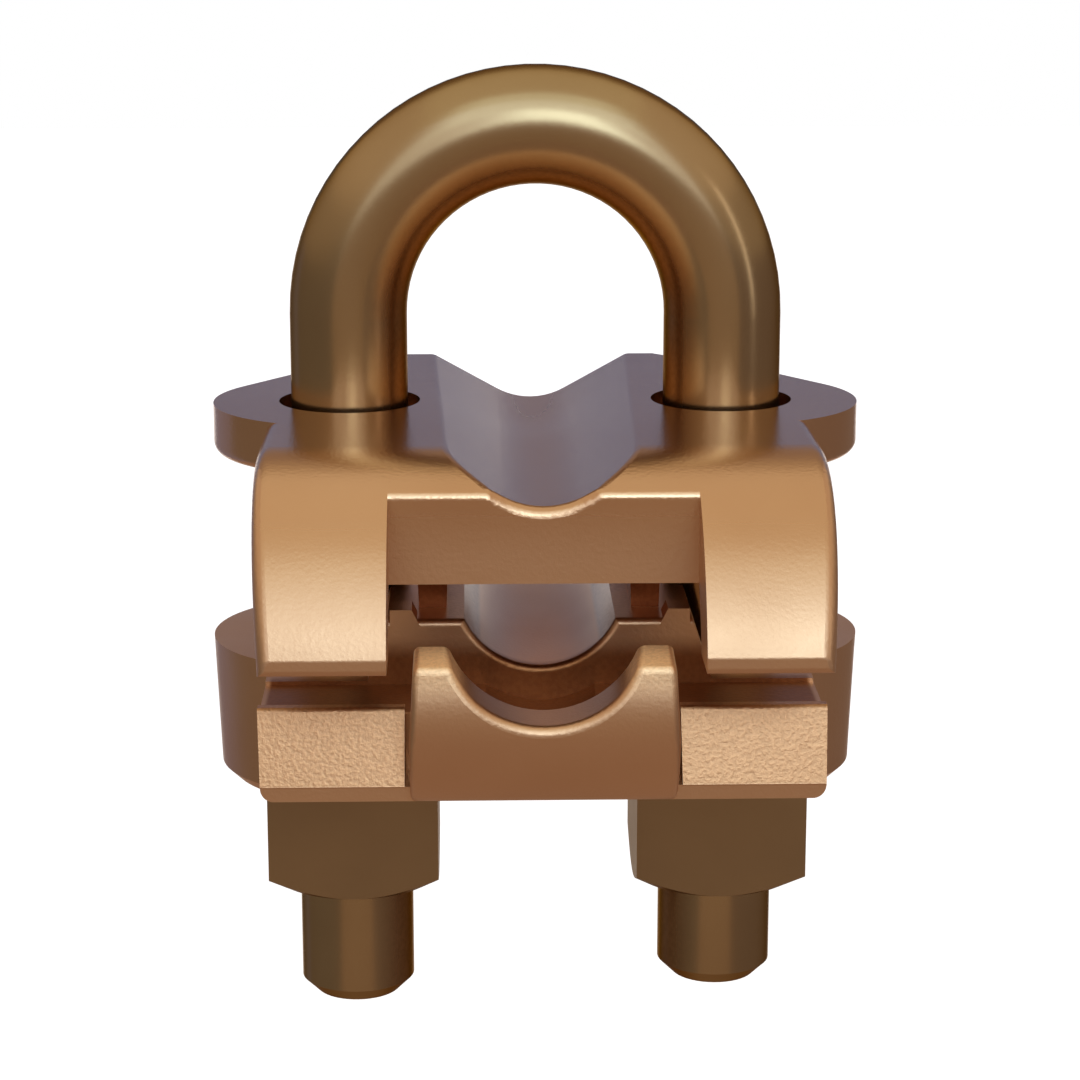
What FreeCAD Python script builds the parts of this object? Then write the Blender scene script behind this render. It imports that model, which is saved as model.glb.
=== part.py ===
import FreeCAD, Part
import math
import os
import Sketcher

doc = FreeCAD.newDocument("earth_rod_clamp")

# ---------------------------------------------------------------- sizes, mm
# Heights are given as drops below the rod axis, which is the origin.
SIZES = (
    ("bar_radius", "4.7625", "half the 3/8 in round bar"),
    ("bend_radius", "15.2", "rod axis to the centre line of each leg"),
    ("left_stub", "10.3", "left leg's end below its nut"),
    ("right_stub", "9.05", "right leg's end below its nut"),
    ("end_chamfer", "1.2", "bevel on both sawn ends of the bar"),
    ("hole_clearance", "0.99", "radial play of a leg in the jaws' holes"),
    ("thread_clearance", "0.05", "radial play of a leg in a nut"),
    ("jaw_top", "7.2", "rod axis down to the upper jaw's flat top"),
    ("ear_radius", "11.1", "upper jaw's ears, round the legs"),
    ("ear_thick", "4.1", "upper jaw's ear plate"),
    ("back_reach", "21.7", "rod seat's back edge behind the legs"),
    ("back_half", "10.9", "half the back edge's length"),
    ("cheek_x", "20.7", "corner between ear and oblique back side"),
    ("cheek_y", "11.7", "how far that corner lies behind the legs"),
    ("body_half", "21.5", "half the width of both jaws' front bodies"),
    ("body_back", "8.4", "where the upper jaw's front body begins"),
    ("bend_start", "19.0", "where the fingers begin to curl down"),
    ("finger_outer", "17.6", "outer radius of the curled fingers"),
    ("finger_thick", "5.6", "thickness of the curled fingers"),
    ("lip_reach", "16.7", "finger tip in front of the curl's centre"),
    ("lip_band", "1.2", "height of the finger tip's blunt edge"),
    ("upper_draft", "4.0", "degrees, upper jaw's sides"),
    ("recess_half", "11.4", "half the gap between the outer fingers"),
    ("recess_face", "27.0", "front of the rod seat between the fingers"),
    ("seat_land", "0.89", "flat left between the rod's groove and a leg's hole"),
    ("seat_fall", "3.105", "height of the groove's straight flanks"),
    ("seat_tilt", "1.0", "degrees, groove getting shallower to the front"),
    ("seat_flank", "29", "degrees, slope of the groove's sides"),
    ("seat_edge", "1.0", "rounding where groove meets flat top"),
    ("waist_gap", "0.25", "web and ribs clear of the legs' holes"),
    ("web_drop", "8.7", "flat top down to the web's underside"),
    ("web_back", "17.0", "back end of the web"),
    ("rib_thick", "2.1", "each rib under the web, beside the legs"),
    ("rib_swell", "0.5", "thicker front end of a rib"),
    ("rib_front", "11.7", "front face of the ribs"),
    ("rib_neck", "7.6", "where a rib begins to narrow"),
    ("rib_step", "2.0", "length of that narrowing"),
    ("rib_draft", "2.0", "degrees, all sides of a rib"),
    ("rib_height", "5.9", "ribs below the web, down to the lower jaw"),
    ("saddle_half", "11.9", "half the width of the raised top"),
    ("saddle_slope", "1.6", "how far the raised part's sides run out"),
    ("saddle_back", "18.0", "back face of the lower jaw"),
    ("saddle_step", "4.9", "raised top above the lower jaw's ears"),
    ("shoulder_inner", "9.2", "inner foot of the raised lip's two halves"),
    ("shoulder_outer", "11.7", "outer end of those lips"),
    ("shoulder_height", "0.8", "those lips above the raised top"),
    ("shoulder_run", "2.8", "those lips, front to back"),
    ("boss_height", "11.7", "lower jaw's ears, top to nut seat"),
    ("boss_radius", "11.5", "lower jaw's ears, at their tops"),
    ("boss_draft", "2.3", "degrees, sides of those ears"),
    ("wall_front", "15.2", "back wall of the cross channel"),
    ("channel_width", "11.4", "cross channel, wall to middle finger"),
    ("channel_depth", "5.2", "raised top down to the channel's floor"),
    ("trough_depth", "1.3", "hollow in the channel's floor"),
    ("trough_radius", "7.5", "radius of that hollow"),
    ("floor_thick", "5.7", "channel's floor to the body's underside"),
    ("cable_radius", "6.48", "radius of the cable's round groove"),
    ("cable_depth", "3.8", "depth of that groove"),
    ("sill_inner", "10.4", "inner end of each rough sill"),
    ("sill_rise", "0.75", "sill's top above the channel's floor"),
    ("sill_setback", "2.6", "sill's top edge behind the finger's back"),
    ("sill_ridge", "1.0", "flat along the sill's top"),
    ("sill_lean", "3.1", "how far the rough face runs forward"),
    ("sill_band", "1.25", "smooth band under the rough face"),
    ("lower_draft", "3.5", "degrees, lower jaw's sides"),
    ("hook_half", "9.95", "half the width of the middle finger"),
    ("hook_narrow", "0.35", "narrowing of the finger on each side, at its tips"),
    ("hook_rise", "1.05", "finger's tips above the raised top"),
    ("hook_fall", "0.65", "fall of the tips towards the front"),
    ("hook_radius", "9.0", "front face of the middle finger"),
    ("hook_inset", "4.8", "that radius's centre behind the sills' feet"),
    ("hook_mid", "1.8", "that radius's centre above the floor"),
    ("notch_radius", "7.5", "radius of the finger's round notch"),
    ("notch_rise", "1.3", "notch's bottom above the channel's floor"),
    ("nut_flats", "14.0", "square nut across flats, nominally 9/16 in"),
    ("nut_thick", "9.525", "thickness of a square nut, 3/8 in"),
    ("nut_bevel", "30", "degrees, bevel on a nut's outer face"),
    ("mouth_edge", "0.8", "rounding at the rod seat's front"),
    ("margin", "1.0", "how far a cutter stands clear of the solid"),
    ("soft_edge", "1.0", "cast edges of the jaws"),
    ("crisp_edge", "0.5", "sharper cast edges"),
    ("foot_round", "3.0", "front of the middle finger's foot"),
    ("tip_round", "0.8", "front edges of the finger's tips"),
    ("notch_edge", "0.7", "front edge of the finger's notch"),
    ("corner_round", "1.0", "lower corners of the front body"),
)
sheet = doc.addObject("Spreadsheet::Sheet", "Dims")
for row, (alias, value, meaning) in enumerate(SIZES, 1):
    sheet.set("A%d" % row, meaning)
    sheet.set("B%d" % row, value)
    sheet.setAlias("B%d" % row, alias)
doc.recompute()


# ------------------------------------------------------------------ helpers
def new_body(name):
    return doc.addObject("PartDesign::Body", name)


def new_sketch(body, role, name, offset="0"):
    """Sketch on one of the body's origin planes, moved along its normal."""
    plane = [f for f in body.Origin.OriginFeatures if f.Role == role][0]
    sketch = body.newObject("Sketcher::SketchObject", name)
    sketch.AttachmentSupport = (plane, [""])
    sketch.MapMode = "FlatFace"
    sketch.setExpression("AttachmentOffset.Base.z", offset)
    doc.recompute()
    return sketch


def pin(sketch, kind, geo, end, text):
    """Hold one coordinate or radius to an expression over the sheet."""
    value = float(sketch.evalExpression(text))
    if kind == "Radius":
        index = sketch.addConstraint(Sketcher.Constraint(kind, geo, value))
    else:
        index = sketch.addConstraint(Sketcher.Constraint(kind, -1, 1, geo, end, value))
    sketch.setExpression("Constraints[%d]" % index, text)


def outline(sketch, points):
    """Closed outline. A point is (x, y), or (x, y, radius, turn) when the way
    to the next point is an arc; turn is 1 for a left-hand curve, -1 for right."""
    first = sketch.GeometryCount
    spots = []
    for p in points:
        spots.append((float(sketch.evalExpression(p[0])), float(sketch.evalExpression(p[1]))))
    count = len(points)
    ends = []
    for i, p in enumerate(points):
        a = FreeCAD.Vector(spots[i][0], spots[i][1], 0)
        b = FreeCAD.Vector(spots[(i + 1) % count][0], spots[(i + 1) % count][1], 0)
        if len(p) == 2:
            sketch.addGeometry(Part.LineSegment(a, b))
            ends.append((1, 2))
            continue
        radius = float(sketch.evalExpression(p[2]))
        chord = b - a
        side = FreeCAD.Vector(-chord.y, chord.x, 0).normalize() * p[3]
        rise = max(radius ** 2 - (chord.Length / 2) ** 2, 0) ** 0.5
        middle = (a + b) / 2 + side * rise
        start, stop = (a - middle, b - middle) if p[3] > 0 else (b - middle, a - middle)
        rim = Part.Circle(middle, FreeCAD.Vector(0, 0, 1), radius)
        sketch.addGeometry(Part.ArcOfCircle(rim, math.atan2(start.y, start.x), math.atan2(stop.y, stop.x)))
        ends.append((1, 2) if p[3] > 0 else (2, 1))
    for i in range(count):
        n = (i + 1) % count
        sketch.addConstraint(Sketcher.Constraint("Coincident", first + i, ends[i][1], first + n, ends[n][0]))
    for i, p in enumerate(points):
        pin(sketch, "DistanceX", first + i, ends[i][0], p[0])
        pin(sketch, "DistanceY", first + i, ends[i][0], p[1])
        if len(p) == 4:
            pin(sketch, "Radius", first + i, 0, p[2])


def circle(sketch, x, y, radius):
    geo = sketch.GeometryCount
    spot = FreeCAD.Vector(float(sketch.evalExpression(x)), float(sketch.evalExpression(y)), 0)
    sketch.addGeometry(Part.Circle(spot, FreeCAD.Vector(0, 0, 1), float(sketch.evalExpression(radius))))
    pin(sketch, "DistanceX", geo, 3, x)
    pin(sketch, "DistanceY", geo, 3, y)
    pin(sketch, "Radius", geo, 0, radius)


def mirror_x(points):
    """The same outline on the other side of the middle plane."""
    flipped = []
    for i in range(len(points) - 1, -1, -1):
        p = points[i]
        q = points[i - 1]
        spot = ("-(%s)" % p[0], p[1])
        flipped.append(spot if len(q) == 2 else spot + (q[2], q[3]))
    return flipped


def pad(body, sketch, name, length, taper=None, reverse=False, middle=False):
    feature = body.newObject("PartDesign::Pad", name)
    feature.Profile = sketch
    feature.setExpression("Length", length)
    feature.Reversed = reverse
    if middle:
        feature.SideType = "Symmetric"
    if taper:
        feature.setExpression("TaperAngle", taper)
    doc.recompute()
    return feature


def cut_through(body, sketch, name):
    feature = body.newObject("PartDesign::Pocket", name)
    feature.Profile = sketch
    feature.SideType = "Symmetric"
    feature.Type = "ThroughAll"
    doc.recompute()
    return feature


def cut(body, sketch, name, length, reverse=False):
    feature = body.newObject("PartDesign::Pocket", name)
    feature.Profile = sketch
    feature.setExpression("Length", length)
    feature.Reversed = reverse
    doc.recompute()
    return feature


def round_edges(body, name, radius, test, bevel=False):
    """Fillet, or bevel, the edges whose middle point passes the test."""
    base = body.Tip
    names = []
    for i, edge in enumerate(base.Shape.Edges, 1):
        first, last = edge.ParameterRange
        if test(edge.valueAt((first + last) / 2), edge.BoundBox):
            names.append("Edge%d" % i)
    feature = body.newObject("PartDesign::Chamfer" if bevel else "PartDesign::Fillet", name)
    feature.Base = (base, names)
    feature.Refine = False
    feature.setExpression("Size" if bevel else "Radius", radius)
    doc.recompute()
    return feature


# Drops below the rod axis that several pieces share.
SADDLE = "(Dims.jaw_top + Dims.web_drop + Dims.rib_height)"
EARS = "(%s + Dims.saddle_step)" % SADDLE
SEAT = "(%s + Dims.boss_height)" % EARS
FLOOR = "(%s + Dims.channel_depth)" % SADDLE
UNDER = "(%s + Dims.floor_thick)" % FLOOR
LEFT_END = "(%s + Dims.nut_thick + Dims.left_stub)" % SEAT
RIGHT_END = "(%s + Dims.nut_thick + Dims.right_stub)" % SEAT
# Reaches sideways: the leg holes' inner sides, and what stands clear of them.
HOLE_SIDE = "(Dims.bend_radius - Dims.bar_radius - Dims.hole_clearance)"
WAIST = "(%s - Dims.waist_gap)" % HOLE_SIDE
# Reaches in front of the legs.
HOOK_BACK = "(Dims.wall_front + Dims.channel_width)"
SILL_TOP = "(%s - Dims.sill_setback)" % HOOK_BACK
SILL_FOOT = "(%s + Dims.sill_lean)" % SILL_TOP
SILL_HEEL = "(%s - Dims.sill_ridge)" % SILL_TOP


def near(a, b, slack=0.02):
    return abs(a - b) < slack


def size(text):
    return float(sheet.evalExpression(text))


# -------------------------------------------------------------------- U-bolt
# One length of round bar, swept down a leg, round the half-circle bend and
# down the other leg; both ends are sawn square and bevelled.
bolt = new_body("u_bolt")
path = new_sketch(bolt, "XZ_Plane", "bolt_path")
left = FreeCAD.Vector(-size("bend_radius"), 0, 0)
right = FreeCAD.Vector(size("bend_radius"), 0, 0)
path.addGeometry(Part.LineSegment(FreeCAD.Vector(left.x, -size(LEFT_END), 0), left))
path.addGeometry(Part.Arc(left, FreeCAD.Vector(0, size("bend_radius"), 0), right))
path.addGeometry(Part.LineSegment(right, FreeCAD.Vector(right.x, -size(RIGHT_END), 0)))
path.addConstraint(Sketcher.Constraint("Coincident", 0, 2, 1, 2))
path.addConstraint(Sketcher.Constraint("Coincident", 2, 1, 1, 1))
pin(path, "DistanceX", 0, 1, "-Dims.bend_radius")
pin(path, "DistanceY", 0, 1, "-" + LEFT_END)
pin(path, "DistanceX", 0, 2, "-Dims.bend_radius")
pin(path, "DistanceY", 0, 2, "0")
pin(path, "DistanceX", 2, 1, "Dims.bend_radius")
pin(path, "DistanceY", 2, 1, "0")
pin(path, "DistanceX", 2, 2, "Dims.bend_radius")
pin(path, "DistanceY", 2, 2, "-" + RIGHT_END)
pin(path, "DistanceY", 1, 3, "0")
section = new_sketch(bolt, "XY_Plane", "bolt_section", "-" + LEFT_END)
circle(section, "-Dims.bend_radius", "0", "Dims.bar_radius")
sweep = bolt.newObject("PartDesign::AdditivePipe", "bent_bar")
sweep.Profile = section
sweep.Spine = path
doc.recompute()


def is_sawn_end(p, box):
    return near(box.ZMax, box.ZMin) and (near(p.z, -size(LEFT_END)) or near(p.z, -size(RIGHT_END)))


round_edges(bolt, "sawn_ends", "Dims.end_chamfer", is_sawn_end, bevel=True)

# ----------------------------------------------------------------- upper jaw
# Cast saddle over the rod: ears with clearance holes round both legs, and two
# outer fingers that curl down over the cross channel.
upper = new_body("upper_jaw")
CURL = "(Dims.jaw_top + Dims.finger_outer)"
INNER = "(Dims.finger_outer - Dims.finger_thick)"
LIP = "(%s - sqrt(Dims.finger_outer ^ 2 - Dims.lip_reach ^ 2))" % CURL
TOE = "(%s + Dims.lip_band)" % LIP
TOE_RUN = "sqrt(%s ^ 2 - (%s - %s) ^ 2)" % (INNER, CURL, TOE)
profile = new_sketch(upper, "YZ_Plane", "finger_profile")
outline(profile, (
    ("-Dims.body_back", "-Dims.jaw_top"),
    ("-Dims.bend_start", "-Dims.jaw_top", "Dims.finger_outer", 1),
    ("-Dims.bend_start - Dims.lip_reach", "-" + LIP),
    ("-Dims.bend_start - Dims.lip_reach", "-" + TOE),
    ("-Dims.bend_start - " + TOE_RUN, "-" + TOE, INNER, -1),
    ("-Dims.bend_start", "-Dims.jaw_top - Dims.finger_thick"),
    ("-Dims.body_back", "-Dims.jaw_top - Dims.finger_thick"),
))
pad(upper, profile, "curled_front", "2 * Dims.body_half", middle=True)

flare = new_sketch(upper, "XZ_Plane", "side_wedges")
RUN = "Dims.body_half - (%s - Dims.jaw_top + Dims.margin) * tan(Dims.upper_draft * 1 deg)" % TOE
wedge = (
    ("Dims.body_half", "-Dims.jaw_top"),
    (RUN, "-%s - Dims.margin" % TOE),
    ("Dims.body_half + Dims.margin", "-%s - Dims.margin" % TOE),
    ("Dims.body_half + Dims.margin", "-Dims.jaw_top"),
)
outline(flare, wedge)
outline(flare, mirror_x(wedge))
cut_through(upper, flare, "drafted_sides")

# ears and rod seat in one flat plate; its back corners are cut obliquely
plan = new_sketch(upper, "XY_Plane", "plate_plan", "-Dims.jaw_top")
SPAN = "sqrt((Dims.cheek_x - Dims.bend_radius) ^ 2 + Dims.cheek_y ^ 2)"
AIM = "(atan2(Dims.cheek_y; Dims.cheek_x - Dims.bend_radius) - acos(Dims.ear_radius / %s))" % SPAN
TAN_X = "(Dims.bend_radius + Dims.ear_radius * cos(%s))" % AIM
TAN_Y = "(Dims.ear_radius * sin(%s))" % AIM
outline(plan, (
    ("Dims.back_half", "Dims.back_reach"),
    ("-Dims.back_half", "Dims.back_reach"),
    ("-Dims.cheek_x", "Dims.cheek_y"),
    ("-" + TAN_X, TAN_Y, "Dims.ear_radius", 1),
    ("-Dims.bend_radius", "-Dims.ear_radius"),
    ("Dims.bend_radius", "-Dims.ear_radius", "Dims.ear_radius", 1),
    (TAN_X, TAN_Y),
    ("Dims.cheek_x", "Dims.cheek_y"),
))
pad(upper, plan, "ear_plate", "Dims.ear_thick", reverse=True)

block = new_sketch(upper, "XZ_Plane", "block_section", "Dims.body_back")
outline(block, (
    ("-Dims.recess_half", "-Dims.jaw_top - Dims.ear_thick / 2"),
    ("-Dims.recess_half", "-Dims.jaw_top - Dims.web_drop"),
    ("Dims.recess_half", "-Dims.jaw_top - Dims.web_drop"),
    ("Dims.recess_half", "-Dims.jaw_top - Dims.ear_thick / 2"),
))
pad(upper, block, "rod_seat_block", "Dims.recess_face - Dims.body_back")
web = new_sketch(upper, "XZ_Plane", "web_section", "-Dims.web_back")
outline(web, (
    ("-" + WAIST, "-Dims.jaw_top - Dims.ear_thick / 2"),
    ("-" + WAIST, "-Dims.jaw_top - Dims.web_drop"),
    (WAIST, "-Dims.jaw_top - Dims.web_drop"),
    (WAIST, "-Dims.jaw_top - Dims.ear_thick / 2"),
))
pad(upper, web, "rod_seat_web", "Dims.body_back + Dims.web_back")

ribs = new_sketch(upper, "XY_Plane", "rib_plan", "-Dims.jaw_top - Dims.web_drop")
rib = (
    (WAIST + " - Dims.rib_thick", "-Dims.rib_front"),
    (WAIST + " + Dims.rib_swell", "-Dims.rib_front"),
    (WAIST + " + Dims.rib_swell", "-Dims.rib_neck"),
    (WAIST, "-Dims.rib_neck + Dims.rib_step"),
    (WAIST, "Dims.rib_front"),
    (WAIST + " - Dims.rib_thick", "Dims.rib_front"),
)
outline(ribs, rib)
outline(ribs, mirror_x(rib))
pad(upper, ribs, "cable_ribs", "Dims.rib_height", taper="-Dims.rib_draft", reverse=True)

gap = new_sketch(upper, "XY_Plane", "finger_gap")
outline(gap, (
    ("-Dims.recess_half", "-Dims.recess_face"),
    ("-Dims.recess_half", "-Dims.bend_start - Dims.finger_outer"),
    ("Dims.recess_half", "-Dims.bend_start - Dims.finger_outer"),
    ("Dims.recess_half", "-Dims.recess_face"),
))
cut_through(upper, gap, "gap_between_fingers")

# The rod's groove is a V with a round bottom that fills the width between
# the leg holes at the back edge, and is tilted up towards the front.
seat = new_sketch(upper, "XZ_Plane", "rod_seat_section", "-Dims.back_reach")
seat.AttachmentOffset.Rotation = FreeCAD.Rotation(FreeCAD.Vector(-1, 0, 0), 1)
seat.setExpression("AttachmentOffset.Rotation.Angle", "Dims.seat_tilt * 1 deg")
doc.recompute()
FLANK = "(Dims.seat_flank * 1 deg)"
RIM_X = "(%s - Dims.seat_land)" % HOLE_SIDE
KNEE_X = "(%s - Dims.seat_fall / tan(%s))" % (RIM_X, FLANK)
KNEE_Z = "(Dims.jaw_top + Dims.seat_fall)"
ROOT = "%s / sin(%s)" % (KNEE_X, FLANK)
MOUTH_X = "(%s + 2 * Dims.margin / tan(%s))" % (RIM_X, FLANK)
outline(seat, (
    ("-" + MOUTH_X, "-Dims.jaw_top + 2 * Dims.margin"),
    ("-" + KNEE_X, "-" + KNEE_Z, ROOT, 1),
    (KNEE_X, "-" + KNEE_Z),
    (MOUTH_X, "-Dims.jaw_top + 2 * Dims.margin"),
))
cut_through(upper, seat, "rod_seat")

holes = new_sketch(upper, "XY_Plane", "upper_holes")
circle(holes, "-Dims.bend_radius", "0", "Dims.bar_radius + Dims.hole_clearance")
circle(holes, "Dims.bend_radius", "0", "Dims.bar_radius + Dims.hole_clearance")
cut_through(upper, holes, "upper_leg_holes")

# cast edges: rod seat's rims, its front, the fingers, lips and ears' undersides
TOP = -size("jaw_top")
FACE = -size("recess_face")
LIP_Y = -size("bend_start") - size("lip_reach")
PLATE = TOP - size("ear_thick")


def is_rim(p, box):
    rim = size(RIM_X) / 2 < abs(p.x) < size(RIM_X) + 0.1
    return rim and box.YLength > 2 and p.z > PLATE


def is_seat_front(p, box):
    flat = near(box.YMin, FACE) and near(box.YMax, FACE)
    return flat and p.z > TOP - size("ear_thick") and abs(p.x) < size("recess_half") - 0.1


def is_finger_side(p, box):
    if abs(p.x) < size("body_half") - 1:
        return False
    if near(p.z, TOP) and box.XLength < 0.01:
        return True
    return box.YMin < LIP_Y + 0.1 and near(box.ZMax, TOP, 0.1)


def is_lip(p, box):
    return near(box.YMax, LIP_Y) and box.XLength > size("lip_band")


def is_ear_under(p, box):
    if not (near(box.ZMax, PLATE) and near(box.ZMin, PLATE)):
        return False
    behind = p.y > size("ear_radius") and abs(p.x) > size(WAIST) + 0.1
    return abs(p.x) > size("body_half") - 0.2 or behind or near(p.y, size("back_reach"))


round_edges(upper, "seat_rims", "Dims.seat_edge", is_rim)
round_edges(upper, "seat_front", "Dims.mouth_edge", is_seat_front)
round_edges(upper, "finger_sides", "Dims.soft_edge", is_finger_side)
round_edges(upper, "lips", "Dims.crisp_edge", is_lip)
round_edges(upper, "ear_undersides", "Dims.soft_edge", is_ear_under)

# ----------------------------------------------------------------- lower jaw
# Cast body with a boss round each leg, a raised saddle for a cable that runs
# along the rod, and a cross channel closed in front by one middle finger.
lower = new_body("lower_jaw")
base = new_sketch(lower, "YZ_Plane", "base_profile")
outline(base, (
    ("-Dims.body_back", "-" + EARS),
    ("-Dims.wall_front", "-" + EARS),
    ("-Dims.wall_front", "-" + FLOOR),
    ("-" + SILL_HEEL, "-" + FLOOR),
    ("-" + SILL_HEEL, "-%s + Dims.sill_rise" % FLOOR),
    ("-" + SILL_TOP, "-%s + Dims.sill_rise" % FLOOR),
    ("-" + SILL_FOOT, "-%s + Dims.sill_band" % UNDER),
    ("-" + SILL_FOOT, "-" + UNDER),
    ("-Dims.body_back", "-" + UNDER),
))
pad(lower, base, "front_body", "2 * Dims.body_half", middle=True)

between = new_sketch(lower, "XY_Plane", "sill_gap", "-%s + Dims.sill_band" % UNDER)
outline(between, (
    ("-Dims.sill_inner", "-" + SILL_HEEL),
    ("-Dims.sill_inner", "-%s - Dims.margin" % SILL_FOOT),
    ("Dims.sill_inner", "-%s - Dims.margin" % SILL_FOOT),
    ("Dims.sill_inner", "-" + SILL_HEEL),
))
cut(lower, between, "gap_between_sills", "Dims.floor_thick + Dims.sill_rise", reverse=True)

flare = new_sketch(lower, "XZ_Plane", "lower_wedges")
RUN = "Dims.body_half - (%s + Dims.margin - %s + Dims.sill_rise) * tan(Dims.lower_draft * 1 deg)" % (UNDER, FLOOR)
wedge = (
    ("Dims.body_half", "-%s + Dims.sill_rise" % FLOOR),
    (RUN, "-%s - Dims.margin" % UNDER),
    ("Dims.body_half + Dims.margin", "-%s - Dims.margin" % UNDER),
    ("Dims.body_half + Dims.margin", "-%s + Dims.sill_rise" % FLOOR),
)
outline(flare, wedge)
outline(flare, mirror_x(wedge))
cut_through(lower, flare, "drafted_sides_below")

bosses = new_sketch(lower, "XY_Plane", "boss_plan", "-" + EARS)
circle(bosses, "-Dims.bend_radius", "0", "Dims.boss_radius")
circle(bosses, "Dims.bend_radius", "0", "Dims.boss_radius")
pad(lower, bosses, "leg_bosses", "Dims.boss_height", taper="-Dims.boss_draft", reverse=True)

saddle = new_sketch(lower, "XZ_Plane", "saddle_section", "-Dims.saddle_back")
outline(saddle, (
    ("-Dims.saddle_half", "-" + SADDLE),
    ("-Dims.saddle_half - Dims.saddle_slope", "-" + EARS),
    ("-Dims.saddle_half - Dims.saddle_slope", "-" + UNDER),
    ("Dims.saddle_half + Dims.saddle_slope", "-" + UNDER),
    ("Dims.saddle_half + Dims.saddle_slope", "-" + EARS),
    ("Dims.saddle_half", "-" + SADDLE),
))
pad(lower, saddle, "cable_saddle", "Dims.wall_front + Dims.saddle_back")

lips = new_sketch(lower, "XZ_Plane", "shoulder_section", "Dims.wall_front")
lip = (
    ("Dims.shoulder_inner", "-%s - Dims.shoulder_height" % SADDLE),
    ("Dims.shoulder_inner + Dims.shoulder_height", "-%s + Dims.shoulder_height" % SADDLE),
    ("Dims.shoulder_outer", "-%s + Dims.shoulder_height" % SADDLE),
    ("Dims.shoulder_outer", "-%s - Dims.shoulder_height" % SADDLE),
)
outline(lips, lip)
outline(lips, mirror_x(lip))
pad(lower, lips, "raised_lips", "Dims.shoulder_run", reverse=True)

hook = new_sketch(lower, "YZ_Plane", "hook_profile")
TIP = "(%s - Dims.hook_rise)" % SADDLE
CENTRE_Y = "(%s - Dims.hook_inset)" % SILL_FOOT
CENTRE_Z = "(%s - Dims.hook_mid)" % FLOOR
HIGH_RUN = "sqrt(Dims.hook_radius ^ 2 - (%s - %s - Dims.hook_fall) ^ 2)" % (CENTRE_Z, TIP)
LOW_RUN = "sqrt(Dims.hook_radius ^ 2 - (%s - %s) ^ 2)" % (UNDER, CENTRE_Z)
outline(hook, (
    ("-" + HOOK_BACK, "-" + TIP),
    ("-%s - %s" % (CENTRE_Y, HIGH_RUN), "-%s - Dims.hook_fall" % TIP, "Dims.hook_radius", 1),
    ("-%s - %s" % (CENTRE_Y, LOW_RUN), "-" + UNDER),
    ("-" + SILL_HEEL, "-" + UNDER),
    ("-" + SILL_HEEL, "-" + FLOOR),
    ("-" + HOOK_BACK, "-" + FLOOR),
))
pad(lower, hook, "middle_finger", "2 * Dims.hook_half", middle=True)

shave = new_sketch(lower, "XZ_Plane", "finger_draft", HOOK_BACK)
side = (
    ("Dims.hook_half - Dims.hook_narrow", "-" + TIP),
    ("Dims.hook_half", "-" + FLOOR),
    ("Dims.hook_half + Dims.margin", "-" + FLOOR),
    ("Dims.hook_half + Dims.margin", "-" + TIP),
)
outline(shave, side)
outline(shave, mirror_x(side))
cut(lower, shave, "drafted_finger", "2 * Dims.hook_radius", reverse=True)

trough = new_sketch(lower, "XZ_Plane", "trough_section", "Dims.wall_front")
DIP = "(Dims.trough_radius - Dims.trough_depth)"
SPREAD = "sqrt(Dims.trough_radius ^ 2 - %s ^ 2)" % DIP
outline(trough, (
    ("-" + SPREAD, "-%s + Dims.margin" % FLOOR),
    ("-" + SPREAD, "-" + FLOOR, "Dims.trough_radius", 1),
    (SPREAD, "-" + FLOOR),
    (SPREAD, "-%s + Dims.margin" % FLOOR),
))
cut(lower, trough, "floor_trough", "Dims.channel_width", reverse=True)

notch = new_sketch(lower, "XZ_Plane", "notch_section", HOOK_BACK)
LEVEL = "(%s - Dims.notch_rise)" % FLOOR
circle(notch, "0", "-%s + Dims.notch_radius" % LEVEL, "Dims.notch_radius")
cut(lower, notch, "finger_notch", "2 * Dims.hook_radius", reverse=True)

lay = new_sketch(lower, "XZ_Plane", "cable_groove_section", "Dims.wall_front")
RISE = "(Dims.cable_radius - Dims.cable_depth)"
OPEN = "sqrt(Dims.cable_radius ^ 2 - %s ^ 2)" % RISE
outline(lay, (
    ("-" + OPEN, "-%s + Dims.margin" % SADDLE),
    ("-" + OPEN, "-" + SADDLE, "Dims.cable_radius", 1),
    (OPEN, "-" + SADDLE),
    (OPEN, "-%s + Dims.margin" % SADDLE),
))
cut(lower, lay, "cable_groove", "Dims.saddle_back + Dims.wall_front")

holes = new_sketch(lower, "XY_Plane", "lower_holes")
circle(holes, "-Dims.bend_radius", "0", "Dims.bar_radius + Dims.hole_clearance")
circle(holes, "Dims.bend_radius", "0", "Dims.bar_radius + Dims.hole_clearance")
cut_through(lower, holes, "lower_leg_holes")

# cast edges: finger, notch, bosses, body and sills
FOOT = -size(UNDER)
TIP_FRONT = -size(TIP) - size("hook_fall")
AHEAD = -size(HOOK_BACK) - 1


def is_hook_foot(p, box):
    return near(p.z, FOOT) and p.y < -size(SILL_HEEL) and near(box.XLength, 2 * size("hook_half"))


def is_tip(p, box):
    return near(p.z, TIP_FRONT) and p.y < AHEAD and box.XLength > 1


def is_notch_rim(p, box):
    deep = -size(LEVEL) - 0.1 < p.z < TIP_FRONT
    return p.y < AHEAD - 1 and deep and abs(p.x) < size("notch_radius") + 0.1


def is_hook_side(p, box):
    return near(abs(p.x), size("hook_half")) and p.y < -size(SILL_FOOT) - 0.2 and p.z > FOOT


def is_boss_foot(p, box):
    return near(box.ZMax, -size(SEAT)) and box.XLength > size("boss_radius") + size("bar_radius")


def is_body_corner(p, box):
    return abs(p.x) > size("body_half") - 1 and near(box.ZMax, FOOT) and box.YLength > size("foot_round")


def is_sill_edge(p, box):
    top = near(p.z, -size(FLOOR) + size("sill_rise"))
    return near(p.y, -size(SILL_TOP)) and top and box.XLength > size("sill_lean")


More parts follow.
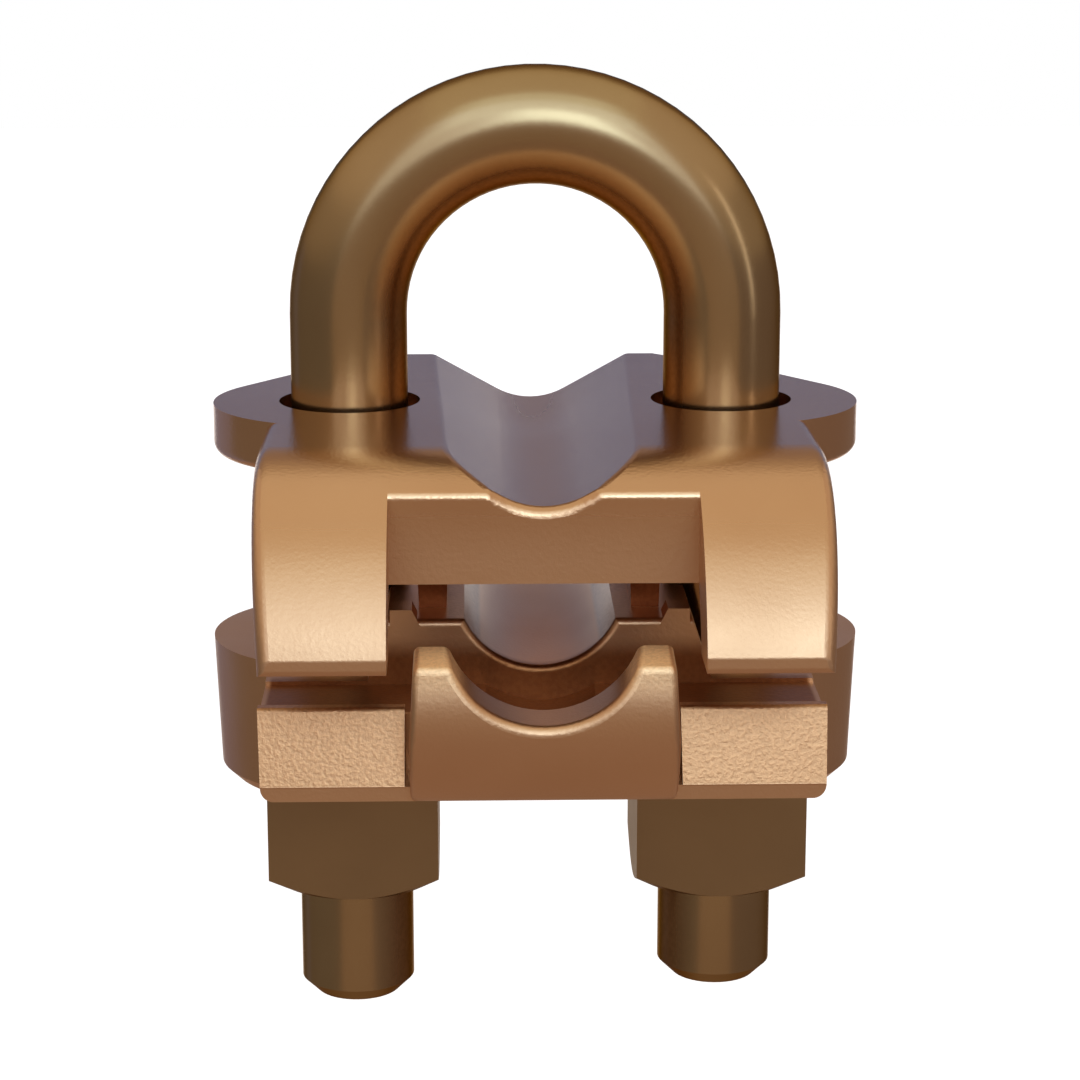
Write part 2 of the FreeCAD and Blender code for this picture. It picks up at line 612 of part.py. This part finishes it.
def is_wall_edge(p, box):
    groove = abs(p.x) < size("cable_radius") and p.z > -size(EARS)
    return near(p.y, -size("wall_front")) and (near(p.z, -size(SADDLE)) or groove)


round_edges(lower, "hook_foot", "Dims.foot_round", is_hook_foot)
round_edges(lower, "hook_tips", "Dims.tip_round", is_tip)
round_edges(lower, "notch_rim", "Dims.notch_edge", is_notch_rim)
round_edges(lower, "hook_sides", "Dims.crisp_edge", is_hook_side)
round_edges(lower, "boss_feet", "Dims.soft_edge", is_boss_foot, bevel=True)
round_edges(lower, "body_corners", "Dims.corner_round", is_body_corner)
round_edges(lower, "sill_edges", "Dims.crisp_edge", is_sill_edge)
round_edges(lower, "wall_edges", "Dims.crisp_edge", is_wall_edge)

# ---------------------------------------------------------------------- nuts
# Square nuts, bevelled on the outer face only, one under each boss.
for name, side in (("nut_left", "-"), ("nut_right", "")):
    nut = new_body(name)
    blank = new_sketch(nut, "XY_Plane", name + "_plan")
    HALF = "Dims.nut_flats / 2"
    CORNER = "Dims.nut_flats"
    outline(blank, (
        ("-" + HALF, "-" + HALF),
        (HALF, "-" + HALF),
        (HALF, HALF),
        ("-" + HALF, HALF),
    ))
    pad(nut, blank, name + "_blank", "Dims.nut_thick", reverse=True)
    bore = new_sketch(nut, "XY_Plane", name + "_bore")
    circle(bore, "0", "0", "Dims.bar_radius + Dims.thread_clearance")
    cut_through(nut, bore, name + "_thread_bore")
    corner = new_sketch(nut, "XZ_Plane", name + "_corner")
    outline(corner, (
        (HALF, "-Dims.nut_thick"),
        (CORNER, "-Dims.nut_thick"),
        (CORNER, "-Dims.nut_thick + (%s - %s) * tan(Dims.nut_bevel * 1 deg)" % (CORNER, HALF)),
    ))
    turn = nut.newObject("PartDesign::Groove", name + "_bevel")
    turn.Profile = corner
    turn.ReferenceAxis = (corner, ["V_Axis"])
    turn.Angle = 360
    doc.recompute()
    nut.setExpression("Placement.Base.x", side + "Dims.bend_radius")
    nut.setExpression("Placement.Base.z", "-" + SEAT)
    doc.recompute()

# -------------------------------------------------------------------- export
doc.recompute()
for item in doc.Objects:
    if "Invalid" in item.State or "Error" in item.State:
        raise RuntimeError("%s did not recompute: %s" % (item.Name, item.State))
os.makedirs("parts", exist_ok=True)
for name in ("u_bolt", "upper_jaw", "lower_jaw", "nut_left", "nut_right"):
    body = doc.getObject(name)
    shape = body.Shape
    if shape.isNull() or not shape.isValid() or len(shape.Solids) != 1:
        raise RuntimeError("%s is not one sound solid" % name)
    shape.exportStep("parts/%s.step" % name)
    box = shape.BoundBox
    spans = (name, shape.Volume, box.XMin, box.XMax, box.YMin, box.YMax, box.ZMin, box.ZMax)
    print("%s %.0f mm3, x %.2f..%.2f y %.2f..%.2f z %.2f..%.2f" % spans)
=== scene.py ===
import bpy, math
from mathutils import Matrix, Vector


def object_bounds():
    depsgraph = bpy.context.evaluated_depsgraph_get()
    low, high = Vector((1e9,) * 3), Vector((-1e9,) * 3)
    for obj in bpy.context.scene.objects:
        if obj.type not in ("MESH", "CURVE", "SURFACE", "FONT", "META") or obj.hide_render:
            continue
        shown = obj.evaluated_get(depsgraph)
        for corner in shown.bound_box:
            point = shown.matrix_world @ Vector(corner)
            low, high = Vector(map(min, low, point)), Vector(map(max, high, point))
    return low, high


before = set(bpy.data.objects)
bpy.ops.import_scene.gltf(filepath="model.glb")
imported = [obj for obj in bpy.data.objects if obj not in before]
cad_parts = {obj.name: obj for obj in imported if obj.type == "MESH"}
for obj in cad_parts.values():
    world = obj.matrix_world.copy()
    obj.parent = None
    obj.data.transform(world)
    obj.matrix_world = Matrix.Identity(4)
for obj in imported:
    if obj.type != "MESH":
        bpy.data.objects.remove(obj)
cad_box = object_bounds()

# --- Camera and studio -------------------------------------------------
# The clamp is seen square on from the finger side, a little from above,
# with a long lens. Lengths are metres, apart from the lens's own.
scene = bpy.context.scene
scene.view_settings.view_transform = "Standard"
AIM = Vector((0.00037, 0.0, -0.0191))
CAMERA_AZIMUTH = -1.4
CAMERA_ELEVATION = 13.55
CAMERA_DISTANCE = 0.2363


def around(azimuth, elevation, distance):
    """Place from which the clamp is seen along this azimuth and elevation."""
    a, e = math.radians(azimuth), math.radians(elevation)
    way = Vector((math.sin(a) * math.cos(e), -math.cos(a) * math.cos(e), math.sin(e)))
    return AIM + distance * way


def look(obj, place, target=AIM):
    """Moves a camera, lamp or card to a place and turns it to the target."""
    obj.location = place
    obj.rotation_euler = (target - place).to_track_quat("-Z", "Y").to_euler()


bpy.ops.object.camera_add()
camera = bpy.context.object
look(camera, around(CAMERA_AZIMUTH, CAMERA_ELEVATION, CAMERA_DISTANCE))
camera.data.sensor_width = 36
camera.data.lens = 95.0
camera.data.clip_start = 0.01
scene.camera = camera


def seen_rays(tree):
    """1 for camera, glossy and transmitted rays, 0 for the rest."""
    path = tree.nodes.new("ShaderNodeLightPath")
    total = path.outputs["Is Camera Ray"]
    for kind in ("Is Glossy Ray", "Is Transmission Ray"):
        add = tree.nodes.new("ShaderNodeMath")
        add.operation = "ADD"
        add.use_clamp = True
        tree.links.new(total, add.inputs[0])
        tree.links.new(path.outputs[kind], add.inputs[1])
        total = add.outputs[0]
    return total


def stage_material(name, colour, glow):
    """Matt paint that can glow in a colour, for the stage, and its shader."""
    mat = bpy.data.materials.new(name)
    mat.use_nodes = True
    bsdf = mat.node_tree.nodes["Principled BSDF"]
    bsdf.inputs["Base Color"].default_value = (*colour, 1)
    bsdf.inputs["Roughness"].default_value = 0.9
    bsdf.inputs["Specular IOR Level"].default_value = 0.1
    bsdf.inputs["Emission Color"].default_value = (*glow, 1)
    return mat, bsdf


# The clamp hangs high over a pale floor, so its shadow is far off and soft.
# The floor is lifted to white only for the rays that see or mirror it.
FLOOR_Z = cad_box[0][2] - 0.30
FLOOR_SIZE = 8
FLOOR_LIFT = 0.75
bpy.ops.mesh.primitive_plane_add(size=FLOOR_SIZE, location=(0, 0, FLOOR_Z))
floor = bpy.context.object
floor.name = "floor"
pale, pale_bsdf = stage_material("pale_floor", (0.86, 0.86, 0.87), (1, 1, 1))
lift = pale.node_tree.nodes.new("ShaderNodeMath")
lift.operation = "MULTIPLY"
lift.inputs[1].default_value = FLOOR_LIFT
pale.node_tree.links.new(seen_rays(pale.node_tree), lift.inputs[0])
pale.node_tree.links.new(lift.outputs[0], pale_bsdf.inputs["Emission Strength"])
floor.data.materials.append(pale)


def panel(name, glow, width, height):
    """Dimly lit card, which the metal mirrors in this colour."""
    mat, bsdf = stage_material(name, (0.04, 0.04, 0.04), glow)
    bsdf.inputs["Emission Strength"].default_value = 1.0
    bpy.ops.mesh.primitive_plane_add(size=1)
    obj = bpy.context.object
    obj.name = name
    obj.scale = (width, height, 1)
    obj.data.materials.append(mat)
    return obj


def upright(name, glow, start, end, low, high):
    """Standing panel from one floor point to another, between two heights."""
    middle = Vector(((start[0] + end[0]) / 2, (start[1] + end[1]) / 2, (low + high) / 2))
    along = Vector((end[0] - start[0], end[1] - start[1], 0))
    facing = Vector((along.y, -along.x, 0))
    look(panel(name, glow, along.length, high - low), middle, middle + facing)


# Dim panels stand all round, out of the picture, for the metal to mirror:
# warm in front and below, dark beside, blue-grey low behind, brown above.
# The pairs are points on the floor, where one panel ends and the next begins.
FRONT_LEFT, FRONT_RIGHT = (-0.42, -0.70), (0.42, -0.70)
CORNER_LEFT = (-0.375, 0.17)
REAR_LEFT, REAR_RIGHT = (-0.34, 0.80), (0.34, 0.80)
BEHIND = ((0.5, 0.55), (-0.5, 0.55))
LOW_SIDES, MID_SIDES, TOP = 0.05, 0.18, 0.62
ABOVE_FLOOR = FLOOR_Z + 0.002
panel("carpet", (0.31, 0.20, 0.135), 1.3, 1.60).location = (0, -0.20, ABOVE_FLOOR)
panel("ceiling", (0.72, 0.60, 0.41), 1.1, 1.2).location = (0, 0.10, TOP)
SIDES = {
    "left_rear": ((REAR_LEFT, CORNER_LEFT), (0.22, 0.20, 0.26)),
    "left_front": ((CORNER_LEFT, FRONT_LEFT), (0.18, 0.14, 0.105)),
    "right": ((FRONT_RIGHT, REAR_RIGHT), (0.19, 0.135, 0.105)),
}
for side_name, (line, low_glow) in SIDES.items():
    upright(side_name, low_glow, *line, FLOOR_Z, LOW_SIDES)
    upright("mid_" + side_name, (0.38, 0.29, 0.20), *line, LOW_SIDES, MID_SIDES)
    upright("high_" + side_name, (0.62, 0.48, 0.33), *line, MID_SIDES, TOP)
upright("front", (0.34, 0.235, 0.155), FRONT_LEFT, FRONT_RIGHT, FLOOR_Z, 0.10)
upright("behind", (0.16, 0.195, 0.33), *BEHIND, 0.006, 0.17)
upright("high_behind", (0.28, 0.19, 0.13), *BEHIND, 0.17, 0.42)
upright("highest_behind", (0.44, 0.33, 0.20), *BEHIND, 0.42, TOP)

# The world lights the clamp softly in grey and is white where it is seen.
world = bpy.data.worlds.new("studio")
scene.world = world
world.use_nodes = True
wt = world.node_tree
wt.nodes["Background"].inputs["Color"].default_value = (0.50, 0.49, 0.50, 1)
wt.nodes["Background"].inputs["Strength"].default_value = 1.0
sky = wt.nodes.new("ShaderNodeBackground")
sky.inputs["Color"].default_value = (1, 1, 1, 1)
pick = wt.nodes.new("ShaderNodeMixShader")
wt.links.new(seen_rays(wt), pick.inputs[0])
wt.links.new(wt.nodes["Background"].outputs[0], pick.inputs[1])
wt.links.new(sky.outputs[0], pick.inputs[2])
wt.links.new(pick.outputs[0], wt.nodes["World Output"].inputs["Surface"])


def softbox(name, place, width, height, brightness, colour):
    """Area lamp turned to the clamp, equally bright whatever its size."""
    bpy.ops.object.light_add(type="AREA")
    lamp = bpy.context.object
    lamp.name = name
    lamp.data.shape = "RECTANGLE"
    lamp.data.size = width
    lamp.data.size_y = height
    lamp.data.energy = brightness * math.pi * width * height
    lamp.data.color = colour
    look(lamp, place)


KEY_DISTANCE = 0.62
softbox("key", around(6, 25, KEY_DISTANCE), 0.17, 0.21, 2.9, (0.60, 0.86, 1.0))
softbox("upper_key", around(4, 50, KEY_DISTANCE), 0.50, 0.40, 0.55, (0.62, 0.92, 1.0))
softbox("strip_right", around(60, 12, 0.36), 0.03, 0.20, 1.2, (1, 0.95, 0.86))


# --- Bronze --------------------------------------------------------------
# Every bronze is bare metal: its colour drifts in soft patches, its gloss
# with them, and a fine grain covers it. Zones of it are changed by masks.
PATCHES, PATCH_DETAIL = 60, 5
GRAIN_DETAIL, SAND_DETAIL = 3, 2
GRAIN_STRENGTH = 0.6
DARK_PATCH_DULLER, LIGHT_PATCH_GLOSSIER = 0.04, 0.03
SAND_DARK, SAND_LIGHT = 0.92, 1.06


def noise(nt, scale, detail):
    """Noise in the piece's own coordinates, from 0 to 1."""
    spot = nt.nodes.new("ShaderNodeTexCoord")
    node = nt.nodes.new("ShaderNodeTexNoise")
    node.inputs["Scale"].default_value = scale
    node.inputs["Detail"].default_value = detail
    nt.links.new(spot.outputs["Object"], node.inputs["Vector"])
    return node.outputs["Fac"]


def two_colours(nt, value, low, low_colour, high, high_colour):
    """Runs from one colour to the other as the value goes from low to high."""
    node = nt.nodes.new("ShaderNodeValToRGB")
    for end, place, colour in ((0, low, low_colour), (1, high, high_colour)):
        node.color_ramp.elements[end].position = place
        node.color_ramp.elements[end].color = (*colour, 1)
    nt.links.new(value, node.inputs["Fac"])
    return node.outputs["Color"]


def roughen(nt, height, strength, depth):
    """Bump node of this depth over whatever the height socket gives."""
    node = nt.nodes.new("ShaderNodeBump")
    node.inputs["Strength"].default_value = strength
    node.inputs["Distance"].default_value = depth
    nt.links.new(height, node.inputs["Height"])
    return node


def metal(name, base, dark, rough, grain, depth, edge=(1, 1, 1)):
    """Bronze whose colour drifts to dark in soft patches, with a fine grain."""
    mat = bpy.data.materials.new(name)
    mat.use_nodes = True
    nt = mat.node_tree
    bsdf = nt.nodes["Principled BSDF"]
    bsdf.inputs["Metallic"].default_value = 1.0
    bsdf.inputs["Specular Tint"].default_value = (*edge, 1)
    patches = noise(nt, PATCHES, PATCH_DETAIL)
    tint = two_colours(nt, patches, 0.35, dark, 0.65, base)
    nt.links.new(tint, bsdf.inputs["Base Color"])
    bump = roughen(nt, noise(nt, grain, GRAIN_DETAIL), GRAIN_STRENGTH, depth)
    nt.links.new(bump.outputs["Normal"], bsdf.inputs["Normal"])
    gloss = nt.nodes.new("ShaderNodeMapRange")
    gloss.inputs["From Min"].default_value = 0.3
    gloss.inputs["From Max"].default_value = 0.7
    gloss.inputs["To Min"].default_value = rough + DARK_PATCH_DULLER
    gloss.inputs["To Max"].default_value = rough - LIGHT_PATCH_GLOSSIER
    nt.links.new(patches, gloss.inputs["Value"])
    nt.links.new(gloss.outputs["Result"], bsdf.inputs["Roughness"])
    return mat


def ramp(nt, value, start, end):
    """Runs smoothly from 0 at start to 1 at end."""
    node = nt.nodes.new("ShaderNodeMapRange")
    node.interpolation_type = "SMOOTHSTEP"
    node.inputs["From Min"].default_value = start
    node.inputs["From Max"].default_value = end
    nt.links.new(value, node.inputs["Value"])
    return node.outputs["Result"]


def product(nt, factors):
    """Socket that multiplies all these sockets."""
    total = factors[0]
    for factor in factors[1:]:
        node = nt.nodes.new("ShaderNodeMath")
        node.operation = "MULTIPLY"
        nt.links.new(total, node.inputs[0])
        nt.links.new(factor, node.inputs[1])
        total = node.outputs[0]
    return total


def axes(nt):
    """Where a point of the piece lies, in metres from the middle of the bend.

    Side counts outwards to either hand, back is minus towards the fingers,
    and height is minus towards the nuts.
    """
    spot = nt.nodes.new("ShaderNodeTexCoord")
    split = nt.nodes.new("ShaderNodeSeparateXYZ")
    nt.links.new(spot.outputs["Object"], split.inputs[0])
    side = nt.nodes.new("ShaderNodeMath")
    side.operation = "ABSOLUTE"
    nt.links.new(split.outputs["X"], side.inputs[0])
    return {
        "side": side.outputs[0],
        "back": split.outputs["Y"],
        "height": split.outputs["Z"],
    }


def zone(mat, *limits):
    """Mask that is 1 inside all the limits.

    A limit names one of the axes, the place where the zone starts and the
    place where it is full.
    """
    nt = mat.node_tree
    places = axes(nt)
    masks = [ramp(nt, places[axis], start, full) for axis, start, full in limits]
    return product(nt, masks)


def lean(mat, mask, toward_back, toward_top):
    """Where the mask is 1 the skin catches light as if it leant this way."""
    nt = mat.node_tree
    normal = nt.nodes["Principled BSDF"].inputs["Normal"]
    spot = nt.nodes.new("ShaderNodeTexCoord")
    slope = nt.nodes.new("ShaderNodeVectorMath")
    slope.operation = "DOT_PRODUCT"
    slope.inputs[1].default_value = (0, toward_back, toward_top)
    nt.links.new(spot.outputs["Object"], slope.inputs[0])
    mix = nt.nodes.new("ShaderNodeMix")
    mix.data_type = "VECTOR"
    nt.links.new(mask, mix.inputs["Factor"])
    nt.links.new(normal.links[0].from_socket, mix.inputs["A"])
    tilt = roughen(nt, slope.outputs["Value"], 1.0, 1.0)
    nt.links.new(tilt.outputs["Normal"], mix.inputs["B"])
    nt.links.new(mix.outputs["Result"], normal)


def polish(mat, mask, rough):
    """Where the mask is 1 the metal has this roughness."""
    nt = mat.node_tree
    roughness = nt.nodes["Principled BSDF"].inputs["Roughness"]
    mix = nt.nodes.new("ShaderNodeMix")
    nt.links.new(mask, mix.inputs["Factor"])
    nt.links.new(roughness.links[0].from_socket, mix.inputs["A"])
    mix.inputs["B"].default_value = rough
    nt.links.new(mix.outputs["Result"], roughness)


def skin(mat, mask, colour, rough, grain, depth):
    """Where the mask is 1 the metal has this colour, roughness and grain."""
    nt = mat.node_tree
    bsdf = nt.nodes["Principled BSDF"]
    sand = noise(nt, grain, SAND_DETAIL)
    darker = [SAND_DARK * part for part in colour]
    lighter = [min(SAND_LIGHT * part, 1) for part in colour]
    mix = nt.nodes.new("ShaderNodeMix")
    mix.data_type = "RGBA"
    nt.links.new(mask, mix.inputs["Factor"])
    nt.links.new(bsdf.inputs["Base Color"].links[0].from_socket, mix.inputs["A"])
    nt.links.new(two_colours(nt, sand, 0.38, darker, 0.62, lighter), mix.inputs["B"])
    nt.links.new(mix.outputs["Result"], bsdf.inputs["Base Color"])
    polish(mat, mask, rough)
    bump = roughen(nt, product(nt, [sand, mask]), 1.0, depth)
    nt.links.new(bsdf.inputs["Normal"].links[0].from_socket, bump.inputs["Normal"])
    nt.links.new(bump.outputs["Normal"], bsdf.inputs["Normal"])


def dress(node, material):
    """Gives this CAD piece the material in every slot."""
    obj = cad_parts[node]
    if not obj.material_slots:
        obj.data.materials.append(material)
    for slot in obj.material_slots:
        slot.material = material


CAST = (0.72, 0.47, 0.30)
CAST_DARK = (0.67, 0.42, 0.26)
CAST_ROUGH, CAST_GRAIN, CAST_DEPTH = 0.38, 3200, 0.000030
FAINT_GRAIN = 2600
EDGE = (0.45, 0.34, 0.24)

# --- U-bolt --------------------------------------------------------------
# Drawn bronze bar, bent cold: smooth, with a soft sheen and slightly darker
# patches; the side that faces inwards is painted redder and darker, a painted shade.
BAR, BAR_DARK = (0.48, 0.355, 0.21), (0.42, 0.30, 0.17)
bar = metal("bar_bronze", BAR, BAR_DARK, 0.23, FAINT_GRAIN, 0.000004, EDGE)
INNER_SIDE_STARTS, INNER_SIDE_FULL = 0.0138, 0.0112
bar_tree = bar.node_tree
bar_axes = axes(bar_tree)
above = bar_tree.nodes.new("ShaderNodeMath")
above.operation = "MAXIMUM"
above.inputs[1].default_value = 0
bar_tree.links.new(bar_axes["height"], above.inputs[0])
outward = bar_tree.nodes.new("ShaderNodeCombineXYZ")
bar_tree.links.new(bar_axes["side"], outward.inputs[0])
bar_tree.links.new(above.outputs[0], outward.inputs[2])
radius = bar_tree.nodes.new("ShaderNodeVectorMath")
radius.operation = "LENGTH"
bar_tree.links.new(outward.outputs[0], radius.inputs[0])
# Painted shade: the side of the bar that faces the jaws is coloured darker and redder.
inner_side_shade = ramp(bar_tree, radius.outputs["Value"], INNER_SIDE_STARTS, INNER_SIDE_FULL)
skin(bar, inner_side_shade, (0.30, 0.165, 0.08), 0.28, FAINT_GRAIN, 0.000001)
dress("u_bolt", bar)

# --- Upper jaw -----------------------------------------------------------
# Copper-coloured bronze casting, tumbled smooth: a fine orange peel on the
# curled shoulders, glossier on the flat top, painted red-brown shade under the web.
upper = metal("upper_cast_bronze", CAST, CAST_DARK, CAST_ROUGH, CAST_GRAIN, CAST_DEPTH)
FLAT_TOP = ("height", -0.0150, -0.0085)
UNDER_WEB = ("height", -0.0159, -0.0162)
BEHIND_RECESS = ("back", -0.0266, -0.0260)
BETWEEN_FINGERS = ("side", 0.0114, 0.0110)
polish(upper, zone(upper, FLAT_TOP), 0.22)
# Painted shade: under the web, behind the recess and between the fingers the casting is
# coloured dark red-brown.
web_shade = zone(upper, UNDER_WEB, BEHIND_RECESS, BETWEEN_FINGERS)
skin(upper, web_shade, (0.28, 0.10, 0.045), 0.30, FAINT_GRAIN, 0.000006)
dress("upper_jaw", upper)

# --- Lower jaw -----------------------------------------------------------
# The same casting metal. The sills and the middle finger's tips keep the
# sandy skin of the mould; the tips are also painted lighter, a painted highlight.
# The back of the cross channel has painted red-brown shade, and the cable's
# groove is painted greyer, a painted reflection.
lower = metal("lower_cast_bronze", CAST, CAST_DARK, CAST_ROUGH, CAST_GRAIN, CAST_DEPTH)
SILL_INNER_END = ("side", 0.0102, 0.0105)
SILL_BACK = ("back", -0.0226, -0.0230)
SILL_FOOT = ("height", -0.0316, -0.0313)
SILL_CREST = ("height", -0.0258, -0.0261)
sills = zone(lower, SILL_INNER_END, SILL_BACK, SILL_FOOT, SILL_CREST)
lean(lower, sills, 0, 0.24)
skin(lower, sills, (0.57, 0.32, 0.175), 0.36, 3400, 0.000036)

FINGER_SIDES = ("side", 0.0106, 0.0103)
FINGER_BACK = ("back", -0.0245, -0.0250)
FINGER_TIPS = ("height", -0.0240, -0.0216)
# Painted highlight: besides their sandy grain, the tips are coloured lighter than the
# casting.
tips_sand_and_highlight = zone(lower, FINGER_SIDES, FINGER_BACK, FINGER_TIPS)
lean(lower, tips_sand_and_highlight, 0.45, 0)
skin(lower, tips_sand_and_highlight, (0.88, 0.60, 0.37), 0.45, 3600, 0.000020)

CHANNEL_ENDS = ("side", 0.0213, 0.0209)
CHANNEL_MIDDLE = ("back", -0.0229, -0.0224)
CHANNEL_WALL = ("back", -0.0135, -0.0152)
CHANNEL_TOP = ("height", -0.0230, -0.0250)
# Painted shade: the back of the cross channel, under the fingers, is coloured dark
# red-brown.
channel_shade = zone(lower, CHANNEL_ENDS, CHANNEL_MIDDLE, CHANNEL_WALL, CHANNEL_TOP)
skin(lower, channel_shade, (0.34, 0.145, 0.06), 0.40, FAINT_GRAIN, 0.000010)

GROOVE_SIDES = ("side", 0.0075, 0.0071)
GROOVE_FRONT = ("back", -0.0150, -0.0146)
GROOVE_BOTTOM = ("height", -0.0238, -0.0234)
# Painted reflection: the cable's groove is coloured greyer, as if it mirrored grey
# surroundings.
groove_reflection = zone(lower, GROOVE_SIDES, GROOVE_FRONT, GROOVE_BOTTOM)
skin(lower, groove_reflection, (0.50, 0.375, 0.30), CAST_ROUGH, CAST_GRAIN, 0.000010)
dress("lower_jaw", lower)

# --- Nuts ---------------------------------------------------------------
# Square bronze nuts, machined, darker and yellower than the castings.
NUT, NUT_DARK = (0.37, 0.27, 0.165), (0.32, 0.23, 0.14)
nut = metal("nut_bronze", NUT, NUT_DARK, 0.34, 2200, 0.000008, EDGE)
dress("nut_left", nut)
dress("nut_right", nut)
